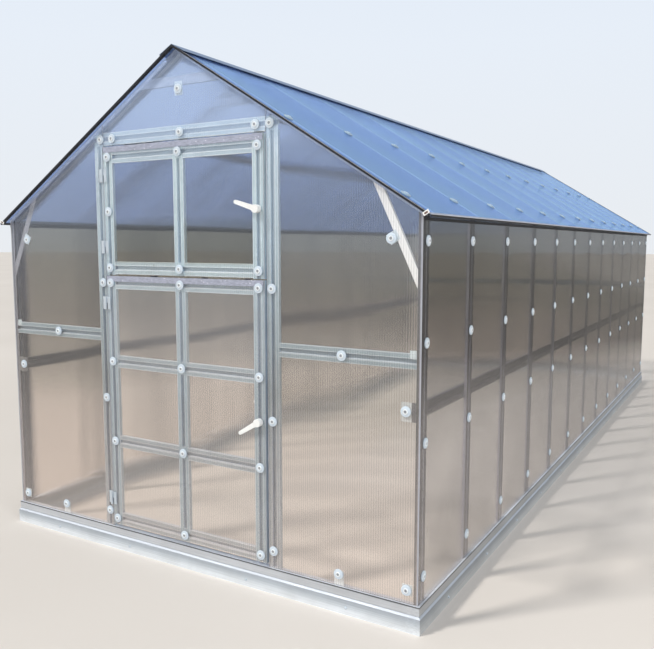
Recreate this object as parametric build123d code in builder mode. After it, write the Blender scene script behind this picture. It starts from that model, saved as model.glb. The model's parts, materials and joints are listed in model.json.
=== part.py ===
from build123d import *
from math import atan2, cos, radians, sin, tan
import os

# Walk-in greenhouse: folded galvanised frame, twin-wall sheets and a front door in two leaves
# X runs across the door front, Y runs along the house away from the door and Z is up
# The origin is on the ground, in the middle of the plan

# Frame of the house, in millimetres
bay = 500
section_bays = 4
sections = 3
frame_width = 2308
base_height = 110
eave_height = 1620
roof_rise = 715

# Folded steel profile of posts, rafters, rails, jambs and door leaves
profile_width = 58
profile_depth = 15
groove_width = 20
groove_floor = 14
groove_depth = 11
gauge = 1.2

# Base channel under the walls
base_proud = 15
base_flange = 40
base_gauge = 2
base_step = 6
base_fold_height = 64
base_fold_rise = 7

# Twin-wall sheets
sheet = 6
sheet_gap = 2
roof_clearance = 1
eave_overhang = 35
verge_overhang = 30

# Ties, braces, purlins and rails
tie_height = 40
tie_drop = 135
brace_width = 30
brace_depth = 15
brace_gauge = 2
brace_foot_drop = 255
brace_head_inset = 179
purlin_inset = 23
wall_rail_centre = 864
front_rail_centre = 1058
bracket_width = 61
bracket_height = 75
bracket_gauge = 1.5

# Edge trims and ridge cap
trim_leg = 14
cap_wing = 80
cap_pitch = 28

# Door leaves
leaf_width = 917
leaf_proud = 10
door_gap = 6
sill_gap = 15
leaf_gap = 5
lintel_gap = 8
lintel_seat = 2
lower_leaf_top = 1345
edge_rail_margin = 33
head_rail_margin = 47
cross_rail_centres = [545, 936]

# Lever handles
lower_handle_height = 744
upper_handle_drop = 305
lower_lever_angle = 211
upper_lever_angle = 163
lever_reach = 110
lever_root_radius = 11
lever_tip_radius = 8
lever_thickness = 13
lever_standoff = 10
boss_radius = 17
boss_length = 24
boss_gap = 0.5
spindle_radius = 5
spindle_clearance = 0.6
catch_reach = 98
catch_clearance = 5
catch_thickness = 12

# Hinges
hinge_height = 60
hinge_gap = 0.3
knuckle_radius = 5
knuckle_clearance = 0.5
pin_radius = 3
pin_clearance = 0.2
hinge_plate = 26
hinge_gauge = 2
hinge_margin = 130

# Places worked out from the sizes above
frame_half = frame_width / 2
bay_count = section_bays * sections
frame_length = bay * bay_count + profile_width
frame_front = -frame_length / 2
wall_half = frame_half + sheet
wall_length = frame_length + 2 * sheet
front_face = -wall_length / 2
post_places = [frame_front + profile_width / 2 + bay * n for n in range(bay_count + 1)]
ridge_height = eave_height + roof_rise
pitch = atan2(roof_rise, frame_half)
rafter_drop = profile_depth / cos(pitch)
post_back = frame_half - profile_depth
eave_reach = wall_half + eave_overhang
slope_length = eave_reach / cos(pitch)
roof_half_length = wall_length / 2 + verge_overhang
leaf_half = leaf_width / 2
jamb_inner = leaf_half + door_gap
jamb_centre = jamb_inner + profile_width / 2
jamb_outer = jamb_inner + profile_width
leaf_face = front_face - leaf_proud
leaf_frame_front = leaf_face + sheet
stile_centre = leaf_half - profile_width / 2
stile_inner = leaf_half - profile_width


# Height of the roof sheets' underside at a distance from the middle
def roof_under(x):
    return ridge_height - abs(x) * tan(pitch)


# Heights of the lintel, the door leaves, their rails, hinges and upper handle
lintel_bottom = roof_under(jamb_outer) - lintel_seat - profile_width
lintel_centre = lintel_bottom + profile_width / 2
lower_leaf_bottom = base_height + sill_gap
upper_leaf_bottom = lower_leaf_top + leaf_gap
upper_leaf_top = lintel_bottom - lintel_gap
upper_handle_height = upper_leaf_top - upper_handle_drop
lower_edge_rails = [lower_leaf_bottom + edge_rail_margin, lower_leaf_top - edge_rail_margin]
upper_edge_rails = [upper_leaf_bottom + edge_rail_margin, upper_leaf_top - head_rail_margin]
lower_hinge_centres = [lower_leaf_bottom + hinge_margin, lower_leaf_top - hinge_margin]
upper_hinge_centres = [upper_leaf_bottom + hinge_margin, upper_leaf_top - hinge_margin]


# Cutting plane along the underside of the right or left rafters
def rafter_plane(side):
    return Plane(
        origin=(0, 0, ridge_height - rafter_drop),
        x_dir=(0, 1, 0),
        z_dir=(side * sin(pitch), 0, cos(pitch)),
    )


# Plane across the right slope, with the sheet's outward side as local Y
ridge_plane = Plane(
    origin=(0, 0, ridge_height),
    x_dir=(0, 1, 0),
    z_dir=(cos(pitch), 0, -sin(pitch)),
)

# Section of the folded profile, with its two lands on the local X axis
with BuildSketch() as profile:
    with BuildLine():
        Polyline(
            (-profile_width / 2, -profile_depth),
            (-profile_width / 2, 0),
            (-groove_width / 2, 0),
            (-groove_floor / 2, -groove_depth),
            (groove_floor / 2, -groove_depth),
            (groove_width / 2, 0),
            (profile_width / 2, 0),
            (profile_width / 2, -profile_depth),
            close=True,
        )
    make_face()
    offset(amount=-gauge, kind=Kind.INTERSECTION, mode=Mode.SUBTRACT)
    with Locations((0, gauge / 2 - profile_depth)):
        Rectangle(profile_width - 2 * gauge, gauge, mode=Mode.SUBTRACT)


# Writes one finished piece under its name
def save(piece, name):
    piece.label = name
    export_step(piece, f"parts/{name}.step")


# Mirror image of a piece on the other side of the house
def other_side(piece, plane):
    with BuildPart() as copy:
        mirror(piece, about=plane)
    return copy.part


# Base channel, mitred at the corners
def base_bar(half_length, half_distance, sideways):
    along = Plane.XZ if sideways else Plane.YZ
    with BuildPart() as bar:
        with BuildSketch(along):
            with BuildLine():
                Polyline(
                    (half_distance - base_flange, 0),
                    (half_distance, 0),
                    (half_distance, base_fold_height),
                    (half_distance - base_step, base_fold_height + base_fold_rise),
                    (half_distance - base_step, base_height),
                    (half_distance - base_flange, base_height),
                    close=True,
                )
            make_face()
            offset(amount=-base_gauge, kind=Kind.INTERSECTION, mode=Mode.SUBTRACT)
            with Locations((half_distance - base_flange + base_gauge / 2, base_height / 2)):
                Rectangle(base_gauge, base_height - 2 * base_gauge, mode=Mode.SUBTRACT)
        extrude(amount=half_length, both=True)
        shared_corner = (base_half_width, base_half_length, 0)
        split(bisect_by=Plane(origin=shared_corner, z_dir=mitre_normal(sideways, 1)), keep=Keep.BOTTOM)
        end_x = base_half_width if sideways else -base_half_width
        end_y = -base_half_length if sideways else base_half_length
        split(bisect_by=Plane(origin=(end_x, end_y, 0), z_dir=mitre_normal(sideways, -1)), keep=Keep.BOTTOM)
    return bar.part


# Direction that points off a base bar's end across its mitre
def mitre_normal(sideways, end):
    return (-1, end, 0) if sideways else (end, -1, 0)


base_half_width = wall_half + base_proud
base_half_length = wall_length / 2 + base_proud
right_base = base_bar(base_half_length, base_half_width, True)
back_base = base_bar(base_half_width, base_half_length, False)

# Posts of the right wall, cut off under the rafters
with BuildPart() as right_posts:
    with BuildSketch(Plane.XY.offset(base_height)):
        with Locations(*[(frame_half, y) for y in post_places]):
            add(profile.sketch, rotation=-90)
    extrude(amount=eave_height - base_height)
    split(bisect_by=rafter_plane(1), keep=Keep.BOTTOM)

# Rafters of the right slope, cut upright at the ridge and at the eave
with BuildPart() as right_rafters:
    with BuildSketch(ridge_plane.offset(-profile_depth)):
        with Locations(*[(y, 0) for y in post_places]):
            add(profile.sketch)
    extrude(amount=slope_length + 2 * profile_depth)
    split(bisect_by=Plane.YZ, keep=Keep.TOP)
    split(bisect_by=Plane.YZ.offset(frame_half), keep=Keep.BOTTOM)

# Collar ties under the ridge, one in each frame
tie_shift = (profile_depth - profile_width) / 2
with BuildPart() as collar_ties:
    with BuildSketch(Plane.YZ):
        with Locations(*[(y + tie_shift, ridge_height - tie_drop) for y in post_places]):
            Rectangle(profile_depth, tie_height)
        with Locations(*[(y + tie_shift + gauge, ridge_height - tie_drop) for y in post_places]):
            Rectangle(profile_depth, tie_height - 2 * gauge, mode=Mode.SUBTRACT)
    extrude(amount=frame_half, both=True)
    split(bisect_by=rafter_plane(1), keep=Keep.BOTTOM)
    split(bisect_by=rafter_plane(-1), keep=Keep.BOTTOM)

# Knee braces in the corners of both end frames
brace_head_x = frame_half - brace_head_inset
brace_head_height = roof_under(brace_head_x) - rafter_drop
brace_foot_height = eave_height - brace_foot_drop
brace_run = post_back - brace_head_x
brace_climb = brace_head_height - brace_foot_height
brace_plane = Plane(
    origin=(post_back - brace_run / 2, frame_front, brace_foot_height + brace_climb / 2),
    x_dir=(0, 1, 0),
    z_dir=(-brace_run, 0, brace_climb),
)
with BuildPart() as front_right_brace:
    with BuildSketch(brace_plane):
        with Locations((brace_gauge / 2, 0)):
            Rectangle(brace_gauge, brace_width)
        with Locations((brace_depth / 2, (brace_gauge - brace_width) / 2)):
            Rectangle(brace_depth, brace_gauge)
    extrude(amount=brace_climb, both=True)
    split(bisect_by=rafter_plane(1), keep=Keep.BOTTOM)
    split(bisect_by=Plane.YZ.offset(post_back), keep=Keep.BOTTOM)
with BuildPart() as knee_braces:
    add(front_right_brace.part)
    mirror(front_right_brace.part, about=Plane.YZ)
    mirror(front_right_brace.part, about=Plane.XZ)
    mirror(other_side(front_right_brace.part, Plane.YZ), about=Plane.XZ)

# Rail along the inside of the right wall
with BuildPart() as right_wall_rail:
    with BuildSketch(Plane.XZ):
        with Locations((post_back, wall_rail_centre)):
            add(profile.sketch, rotation=-90)
    extrude(amount=frame_length / 2 - bracket_gauge, both=True)

# End plates that carry the two wall rails
with BuildPart() as rail_brackets:
    for side in (-1, 1):
        for end in (-1, 1):
            plate_x = side * (post_back - bracket_width / 2)
            plate_y = end * (frame_length - bracket_gauge) / 2
            with Locations((plate_x, plate_y, wall_rail_centre)):
                Box(bracket_width, bracket_gauge, bracket_height)

# Front jambs, standing on the base under the lintel
with BuildPart() as front_right_jamb:
    with BuildSketch(Plane.XY.offset(base_height)):
        with Locations((jamb_centre, frame_front)):
            add(profile.sketch, rotation=180)
    extrude(amount=lintel_bottom - base_height)

# Lintel between the front rafters
with BuildPart() as lintel:
    with BuildSketch(Plane.YZ):
        with Locations((frame_front, lintel_centre)):
            add(profile.sketch, rotation=90)
    extrude(amount=jamb_outer, both=True)
    split(bisect_by=rafter_plane(1), keep=Keep.BOTTOM)
    split(bisect_by=rafter_plane(-1), keep=Keep.BOTTOM)

# Purlins under the rafters, from one end of the lintel to the beam at the back
purlin_centre = jamb_outer - purlin_inset
purlin_plane = Plane(
    origin=(purlin_centre, 0, roof_under(purlin_centre) - rafter_drop),
    x_dir=(cos(pitch), 0, -sin(pitch)),
    z_dir=(0, -1, 0),
)
with BuildPart() as right_purlin:
    with BuildSketch(purlin_plane):
        add(profile.sketch)
    extrude(amount=frame_length / 2 - profile_depth, both=True)
with BuildPart() as purlins:
    add(right_purlin.part)
    mirror(right_purlin.part, about=Plane.YZ)

# Rails between the jambs and the corner posts
with BuildPart() as front_right_rail:
    with BuildSketch(Plane.YZ.offset(jamb_outer)):
        with Locations((frame_front, front_rail_centre)):
            add(profile.sketch, rotation=90)
    extrude(amount=post_back - jamb_outer)
with BuildPart() as front_rails:
    add(front_right_rail.part)
    mirror(front_right_rail.part, about=Plane.YZ)

# Rear end frame: two posts, a beam and three rails
with BuildPart() as back_posts:
    add(other_side(front_right_jamb.part, Plane.XZ))
    mirror(other_side(front_right_jamb.part, Plane.XZ), about=Plane.YZ)
with BuildPart() as back_rails:
    add(other_side(front_rails.part, Plane.XZ))
    with BuildSketch(Plane.YZ.offset(-jamb_inner)):
        with Locations((-frame_front, front_rail_centre)):
            add(profile.sketch, rotation=-90)
    extrude(amount=2 * jamb_inner)

# Sheets of the right wall, in sections that meet on a post
section_length = bay * bay_count / sections
joint_places = [post_places[0] + section_length * n for n in range(1, sections)]
with BuildPart() as right_wall_sheets:
    wall_sheet_height = roof_under(wall_half) - base_height
    with Locations((frame_half + sheet / 2, 0, base_height + wall_sheet_height / 2)):
        Box(sheet, wall_length, wall_sheet_height)
    with Locations(*[(frame_half + sheet / 2, y, base_height + wall_sheet_height / 2) for y in joint_places]):
        Box(sheet, sheet_gap, wall_sheet_height, mode=Mode.SUBTRACT)

# Sheets of the right slope
with BuildPart() as right_roof_sheets:
    with BuildSketch(ridge_plane.offset(-sheet)):
        with Locations((0, sheet / 2)):
            Rectangle(2 * roof_half_length, sheet)
        with Locations(*[(y, sheet / 2) for y in joint_places]):
            Rectangle(sheet_gap, sheet, mode=Mode.SUBTRACT)
    extrude(amount=slope_length + sheet)
    split(bisect_by=Plane.YZ, keep=Keep.TOP)


# Upright sheet in an end wall, cut along the slope of the roof
def end_sheet(inner, outer, bottom):
    with BuildPart() as panel:
        with BuildSketch(Plane.XZ.offset(-front_face)):
            with BuildLine():
                corners = [(inner, bottom), (outer, bottom), (outer, roof_under(outer) - roof_clearance)]
                if inner < 0:
                    corners.append((0, ridge_height - roof_clearance))
                corners.append((inner, roof_under(inner) - roof_clearance))
                Polyline(*corners, close=True)
            make_face()
        extrude(amount=-sheet)
    return panel.part


front_right_sheet = end_sheet(jamb_inner, frame_half, base_height)
gable_half = jamb_inner - sheet_gap / 2
front_gable_sheet = end_sheet(-gable_half, gable_half, lintel_bottom)
back_side_sheet = other_side(end_sheet(jamb_centre, frame_half, base_height), Plane.XZ)
back_middle_half = jamb_centre - sheet_gap
back_middle_sheet = other_side(end_sheet(-back_middle_half, back_middle_half, base_height), Plane.XZ)
with BuildPart() as back_wall_sheets:
    add(back_side_sheet)
    add(back_middle_sheet)
    mirror(back_side_sheet, about=Plane.YZ)

# Channel trim round the front and back edges of the roof sheets
with BuildPart() as right_verge_trims:
    with BuildSketch(ridge_plane.offset(-trim_leg)):
        for end in (-1, 1):
            with Locations((end * (roof_half_length + gauge - trim_leg / 2 - gauge / 2), sheet / 2)):
                Rectangle(trim_leg + gauge, sheet + 2 * gauge)
        Rectangle(2 * roof_half_length, 2 * sheet, mode=Mode.SUBTRACT)
        for end in (-1, 1):
            for leg in (-gauge / 2, sheet + gauge / 2):
                with Locations((end * (roof_half_length - trim_leg / 2), leg)):
                    Rectangle(trim_leg, gauge)
    extrude(amount=slope_length + trim_leg + gauge)
    split(bisect_by=Plane.YZ.offset(sheet_gap / 2), keep=Keep.TOP)
with BuildPart() as verge_trims:
    add(right_verge_trims.part)
    mirror(right_verge_trims.part, about=Plane.YZ)

# Channel trim along the eave edge of the right slope
eave_plane = Plane(
    origin=(eave_reach, 0, roof_under(eave_reach)),
    x_dir=(cos(pitch), 0, -sin(pitch)),
    z_dir=(0, -1, 0),
)
with BuildPart() as right_eave_trim:
    with BuildSketch(eave_plane):
        with Locations(((gauge - trim_leg) / 2, sheet / 2)):
            Rectangle(trim_leg + gauge, sheet + 2 * gauge)
        with Locations((-trim_leg / 2, sheet / 2)):
            Rectangle(trim_leg, sheet, mode=Mode.SUBTRACT)
    extrude(amount=roof_half_length - trim_leg, both=True)

# Folded cap over the ridge, a little flatter than the roof
cap_seat = ridge_height + (sheet + gauge) / cos(pitch)
cap_run = cap_wing * cos(radians(cap_pitch))
cap_fall = cap_wing * sin(radians(cap_pitch))
cap_top = gauge / cos(radians(cap_pitch))
with BuildPart() as ridge_cap:
    with BuildSketch(Plane.XZ):
        with BuildLine():
            Polyline(
                (-cap_run, cap_seat - cap_fall),
                (0, cap_seat),
                (cap_run, cap_seat - cap_fall),
                (cap_run, cap_seat - cap_fall + cap_top),
                (0, cap_seat + cap_top),
                (-cap_run, cap_seat - cap_fall + cap_top),
                close=True,
            )
        make_face()
    extrude(amount=roof_half_length + gauge, both=True)


# Rod that cuts a handle's spindle hole through the leaf
def spindle_cutter(height):
    with BuildPart() as cutter:
        with BuildSketch(Plane(origin=(stile_centre, leaf_face, height), x_dir=(1, 0, 0), z_dir=(0, -1, 0))):
            Circle(spindle_radius + spindle_clearance)
        extrude(amount=profile_depth + sheet + leaf_proud, both=True)
    return cutter.part


# Two stiles joined by the rails at the given heights
def leaf_frame(bottom, top, rails, handle_height):
    with BuildPart() as ladder:
        with BuildSketch(Plane.XY.offset(bottom)):
            with Locations((-stile_centre, leaf_frame_front), (stile_centre, leaf_frame_front)):
                add(profile.sketch, rotation=180)
        extrude(amount=top - bottom)
        with BuildSketch(Plane.YZ):
            with Locations(*[(leaf_frame_front, height) for height in rails]):
                add(profile.sketch, rotation=90)
        extrude(amount=stile_inner, both=True)
        add(spindle_cutter(handle_height), mode=Mode.SUBTRACT)
    return ladder.part


# Upright bars in the middle of a leaf, between each rail and the next
def leaf_mullions(rails):
    with BuildPart() as bars:
        for low, high in zip(rails[:-1], rails[1:]):
            with BuildSketch(Plane.XY.offset(low + profile_width / 2)):
                with Locations((0, leaf_frame_front)):
                    add(profile.sketch, rotation=180)
            extrude(amount=high - low - profile_width)
    return bars.part


# Sheet that covers a whole leaf
def leaf_sheet(bottom, top, handle_height):
    with BuildPart() as panel:
        with Locations((0, leaf_face + sheet / 2, (bottom + top) / 2)):
            Box(leaf_width, sheet, top - bottom)
        add(spindle_cutter(handle_height), mode=Mode.SUBTRACT)
    return panel.part


lower_door_frame = leaf_frame(lower_leaf_bottom, lower_leaf_top, lower_edge_rails, lower_handle_height)
upper_door_frame = leaf_frame(upper_leaf_bottom, upper_leaf_top, upper_edge_rails, upper_handle_height)
lower_door_mullions = leaf_mullions(sorted(lower_edge_rails + cross_rail_centres))
upper_door_mullion = leaf_mullions(upper_edge_rails)
lower_door_sheet = leaf_sheet(lower_leaf_bottom, lower_leaf_top, lower_handle_height)
upper_door_sheet = leaf_sheet(upper_leaf_bottom, upper_leaf_top, upper_handle_height)

# Cross rails of the lower leaf
with BuildPart() as lower_door_rails:
    with BuildSketch(Plane.YZ):
        with Locations(*[(leaf_frame_front, height) for height in cross_rail_centres]):
            add(profile.sketch, rotation=90)
    extrude(amount=stile_inner, both=True)


# Outline of a lever that narrows from its root to its tip
def lever_outline(reach):
    with BuildSketch(mode=Mode.PRIVATE) as outline:
        Circle(lever_root_radius)
        with Locations((reach - lever_tip_radius, 0)):
            Circle(lever_tip_radius)
        make_hull()
    return outline.sketch


# Handle on one spindle: lever and boss outside, catch inside a quarter turn from the lever
def lever_handle(height, lever_angle, catch_turn):
    mount = Plane(
        origin=(stile_centre, leaf_face - boss_gap, height),
        x_dir=(cos(radians(lever_angle)), 0, sin(radians(lever_angle))),
        z_dir=(0, -1, 0),
    )
    catch_face = frame_front + profile_depth + catch_clearance - leaf_face + boss_gap
    with BuildPart() as handle:
        with BuildSketch(mount):
            Circle(boss_radius)
        extrude(amount=boss_length)
        with BuildSketch(mount.offset(lever_standoff)):
            add(lever_outline(lever_reach))
        extrude(amount=lever_thickness)
        with BuildSketch(mount):
            Circle(spindle_radius)
        extrude(amount=-catch_face)
        with BuildSketch(mount.offset(-catch_face)):
            add(lever_outline(catch_reach), rotation=catch_turn)
        extrude(amount=-catch_thickness)
    return handle.part


lower_handle = lever_handle(lower_handle_height, lower_lever_angle, -90)
upper_handle = lever_handle(upper_handle_height, upper_lever_angle, 90)

# Hinge axis, in front of the gap between the left jamb and the leaves
hinge_x = -(leaf_half + jamb_inner) / 2
hinge_y = leaf_face - knuckle_radius - knuckle_clearance


# Fixed hinge halves: plate on the jamb's sheet, arm, lower knuckle and pin
def fixed_hinges(centres):
    arm_x = hinge_x - knuckle_radius - hinge_gauge / 2
    arm_front = hinge_y - hinge_gauge / 2
    knuckle_length = hinge_height / 2
    with BuildPart() as hinges:
        for centre in centres:
            with Locations((arm_x + hinge_gauge / 2 - hinge_plate / 2, front_face - hinge_gauge / 2, centre)):
                Box(hinge_plate, hinge_gauge, hinge_height)
            with Locations((arm_x, (front_face + arm_front) / 2, centre - knuckle_length / 2)):
                Box(hinge_gauge, front_face - arm_front, knuckle_length)
            with Locations(((arm_x + hinge_x) / 2, hinge_y, centre - knuckle_length / 2)):
                Box(hinge_x - arm_x, hinge_gauge, knuckle_length)
            with BuildSketch(Plane.XY.offset(centre - knuckle_length)):
                with Locations((hinge_x, hinge_y)):
                    Circle(knuckle_radius)
            extrude(amount=knuckle_length)
            with BuildSketch(Plane.XY.offset(centre)):
                with Locations((hinge_x, hinge_y)):
                    Circle(pin_radius)
            extrude(amount=knuckle_length + 2 * hinge_gap)
    return hinges.part


# Moving hinge halves: upper knuckle and plate on the leaf's sheet
def leaf_hinges(centres):
    knuckle_length = hinge_height / 2 - hinge_gap
    knuckle_middle = hinge_gap + knuckle_length / 2
    tongue_reach = 2 * knuckle_radius
    plate_y = leaf_face - hinge_gauge / 2
    with BuildPart() as hinges:
        for centre in centres:
            with Locations((hinge_x + tongue_reach + (hinge_plate - tongue_reach) / 2, plate_y, centre)):
                Box(hinge_plate - tongue_reach, hinge_gauge, hinge_height)
            with Locations((hinge_x + tongue_reach / 2, plate_y, centre + knuckle_middle)):
                Box(tongue_reach, hinge_gauge, knuckle_length)
            with BuildSketch(Plane.XY.offset(centre + hinge_gap)):
                with Locations((hinge_x, hinge_y)):
                    Circle(knuckle_radius)
            extrude(amount=knuckle_length)
            with BuildSketch(Plane.XY.offset(centre)):
                with Locations((hinge_x, hinge_y)):
                    Circle(pin_radius + pin_clearance)
            extrude(amount=hinge_height, mode=Mode.SUBTRACT)
    return hinges.part


# All pieces, each written under its own name
os.makedirs("parts", exist_ok=True)
save(right_base, "base_right")
save(other_side(right_base, Plane.YZ), "base_left")
save(back_base, "base_back")
save(other_side(back_base, Plane.XZ), "base_front")
save(right_posts.part, "right_wall_posts")
save(other_side(right_posts.part, Plane.YZ), "left_wall_posts")
save(right_rafters.part, "right_rafters")
save(other_side(right_rafters.part, Plane.YZ), "left_rafters")
save(collar_ties.part, "collar_ties")
save(knee_braces.part, "knee_braces")
save(purlins.part, "purlins")
save(right_wall_rail.part, "right_wall_rail")
save(other_side(right_wall_rail.part, Plane.YZ), "left_wall_rail")
save(rail_brackets.part, "rail_brackets")
save(front_right_jamb.part, "front_right_jamb")
save(other_side(front_right_jamb.part, Plane.YZ), "front_left_jamb")
save(lintel.part, "door_lintel")
save(front_rails.part, "front_rails")
save(back_posts.part, "back_posts")
save(other_side(lintel.part, Plane.XZ), "back_beam")
save(back_rails.part, "back_rails")
save(right_wall_sheets.part, "right_wall_sheets")
save(other_side(right_wall_sheets.part, Plane.YZ), "left_wall_sheets")
save(right_roof_sheets.part, "right_roof_sheets")
save(other_side(right_roof_sheets.part, Plane.YZ), "left_roof_sheets")
save(front_right_sheet, "front_right_sheet")
save(other_side(front_right_sheet, Plane.YZ), "front_left_sheet")
save(front_gable_sheet, "front_gable_sheet")
save(back_wall_sheets.part, "back_wall_sheets")
save(verge_trims.part, "verge_trims")
save(right_eave_trim.part, "right_eave_trim")
save(other_side(right_eave_trim.part, Plane.YZ), "left_eave_trim")
save(ridge_cap.part, "ridge_cap")
save(lower_door_frame, "lower_door_frame")
save(lower_door_rails.part, "lower_door_rails")
save(lower_door_mullions, "lower_door_mullions")
save(lower_door_sheet, "lower_door_sheet")
save(upper_door_frame, "upper_door_frame")
save(upper_door_mullion, "upper_door_mullion")
save(upper_door_sheet, "upper_door_sheet")
save(lower_handle, "lower_handle")
save(upper_handle, "upper_handle")
save(fixed_hinges(lower_hinge_centres + upper_hinge_centres), "jamb_hinges")
save(leaf_hinges(lower_hinge_centres), "lower_door_hinges")
save(leaf_hinges(upper_hinge_centres), "upper_door_hinges")
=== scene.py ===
"""Looks of the greenhouse: camera, studio, materials, washers, screws, tabs, ribs and plates."""

import json
from math import atan2, cos, hypot, pi, radians, sin

import bpy
from mathutils import Matrix, Vector


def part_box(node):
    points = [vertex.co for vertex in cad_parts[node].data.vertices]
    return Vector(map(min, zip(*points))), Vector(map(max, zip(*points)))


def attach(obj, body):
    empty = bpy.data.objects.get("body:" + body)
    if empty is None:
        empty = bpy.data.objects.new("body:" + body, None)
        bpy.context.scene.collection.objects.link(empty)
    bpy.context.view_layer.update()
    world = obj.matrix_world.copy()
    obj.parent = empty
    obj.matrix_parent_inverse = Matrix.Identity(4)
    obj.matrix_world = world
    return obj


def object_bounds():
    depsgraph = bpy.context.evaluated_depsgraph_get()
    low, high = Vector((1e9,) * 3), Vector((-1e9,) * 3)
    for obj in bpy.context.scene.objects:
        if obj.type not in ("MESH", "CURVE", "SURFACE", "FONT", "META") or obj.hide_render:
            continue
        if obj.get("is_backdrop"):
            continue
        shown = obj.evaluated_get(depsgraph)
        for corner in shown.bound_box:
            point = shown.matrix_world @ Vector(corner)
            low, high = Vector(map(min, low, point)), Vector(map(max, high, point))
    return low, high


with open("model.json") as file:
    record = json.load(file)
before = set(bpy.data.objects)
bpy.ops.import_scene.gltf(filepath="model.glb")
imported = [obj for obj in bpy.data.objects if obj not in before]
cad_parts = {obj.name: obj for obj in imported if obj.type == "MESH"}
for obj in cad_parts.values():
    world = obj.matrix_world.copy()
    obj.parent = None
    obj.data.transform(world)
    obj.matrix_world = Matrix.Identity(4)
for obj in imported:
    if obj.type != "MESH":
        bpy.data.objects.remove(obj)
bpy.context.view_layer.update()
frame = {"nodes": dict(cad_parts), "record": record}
scene = bpy.context.scene


def middle_z(node):
    low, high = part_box(node)
    return (low.z + high.z) / 2


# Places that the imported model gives, in metres
WALL_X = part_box("right_wall_sheets")[1].x
WALL_END_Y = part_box("right_wall_sheets")[1].y
POST_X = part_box("right_wall_posts")[1].x
FRONT_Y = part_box("front_right_sheet")[0].y
FRONT_INNER_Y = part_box("front_right_sheet")[1].y
LEAF_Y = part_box("lower_door_sheet")[0].y
LEAF_EDGE_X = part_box("lower_door_frame")[1].x
LINTEL_Z = middle_z("door_lintel")
BASE_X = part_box("base_right")[1].x
BASE_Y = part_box("base_front")[0].y
BASE_END_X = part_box("base_front")[1].x
RIDGE_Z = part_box("front_gable_sheet")[1].z
EAVE_LOW, EAVE_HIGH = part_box("right_eave_trim")
VERGE_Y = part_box("verge_trims")[0].y

# Sizes of the house, in metres
BAY = 0.5
BAYS = 12
FRAMES = [BAY * (n - BAYS / 2) for n in range(BAYS + 1)]
NEAR_AN_END = 2.9
PROFILE = 0.058
HALF_PROFILE = PROFILE / 2
SHEET = 0.006
SHEET_GAP = 0.001
ROOF_RISE = 0.715
ROOF_HALF_SPAN = 1.154
PITCH = atan2(ROOF_RISE, ROOF_HALF_SPAN)
ROOF_TOP = RIDGE_Z + SHEET_GAP + SHEET / cos(PITCH)

# Heights of the rails, and columns of washers on the leaves
END_RAIL_Z = 1.058
LOWER_LEAF_RAILS = (0.158, 0.545, 0.936, 1.312)
UPPER_LEAF_RAILS = (1.383, 1.896)
LEAF_COLUMNS = (-0.4295, 0.0, 0.4295)

# The photograph's camera, worked out from the frames that it shows
PHOTO_WIDTH = 654
FOCAL_LENGTH_PIXELS = 734.33
SENSOR_WIDTH = 36.0
CAMERA_PLACE = (2.2192, -5.5286, 1.4930)
CAMERA_HEADING = 30.4369
CAMERA_DIP = 6.2238
CAMERA_ROLL = 0.0275


def make_camera():
    data = bpy.data.cameras.new("camera")
    data.sensor_fit = "HORIZONTAL"
    data.sensor_width = SENSOR_WIDTH
    data.lens = FOCAL_LENGTH_PIXELS * SENSOR_WIDTH / PHOTO_WIDTH
    data.clip_start = 0.05
    data.clip_end = 400
    camera = bpy.data.objects.new("camera", data)
    heading = Matrix.Rotation(radians(CAMERA_HEADING), 4, "Z")
    dip = Matrix.Rotation(radians(90 - CAMERA_DIP), 4, "X")
    roll = Matrix.Rotation(radians(CAMERA_ROLL), 4, "Z")
    camera.matrix_world = Matrix.Translation(CAMERA_PLACE) @ (heading @ dip) @ roll
    scene.collection.objects.link(camera)
    scene.camera = camera


make_camera()
scene.view_settings.view_transform = "Standard"
scene.cycles.use_denoising = True
scene.cycles.transparent_max_bounces = 24
scene.cycles.max_bounces = 20
scene.cycles.transmission_bounces = 18


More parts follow.
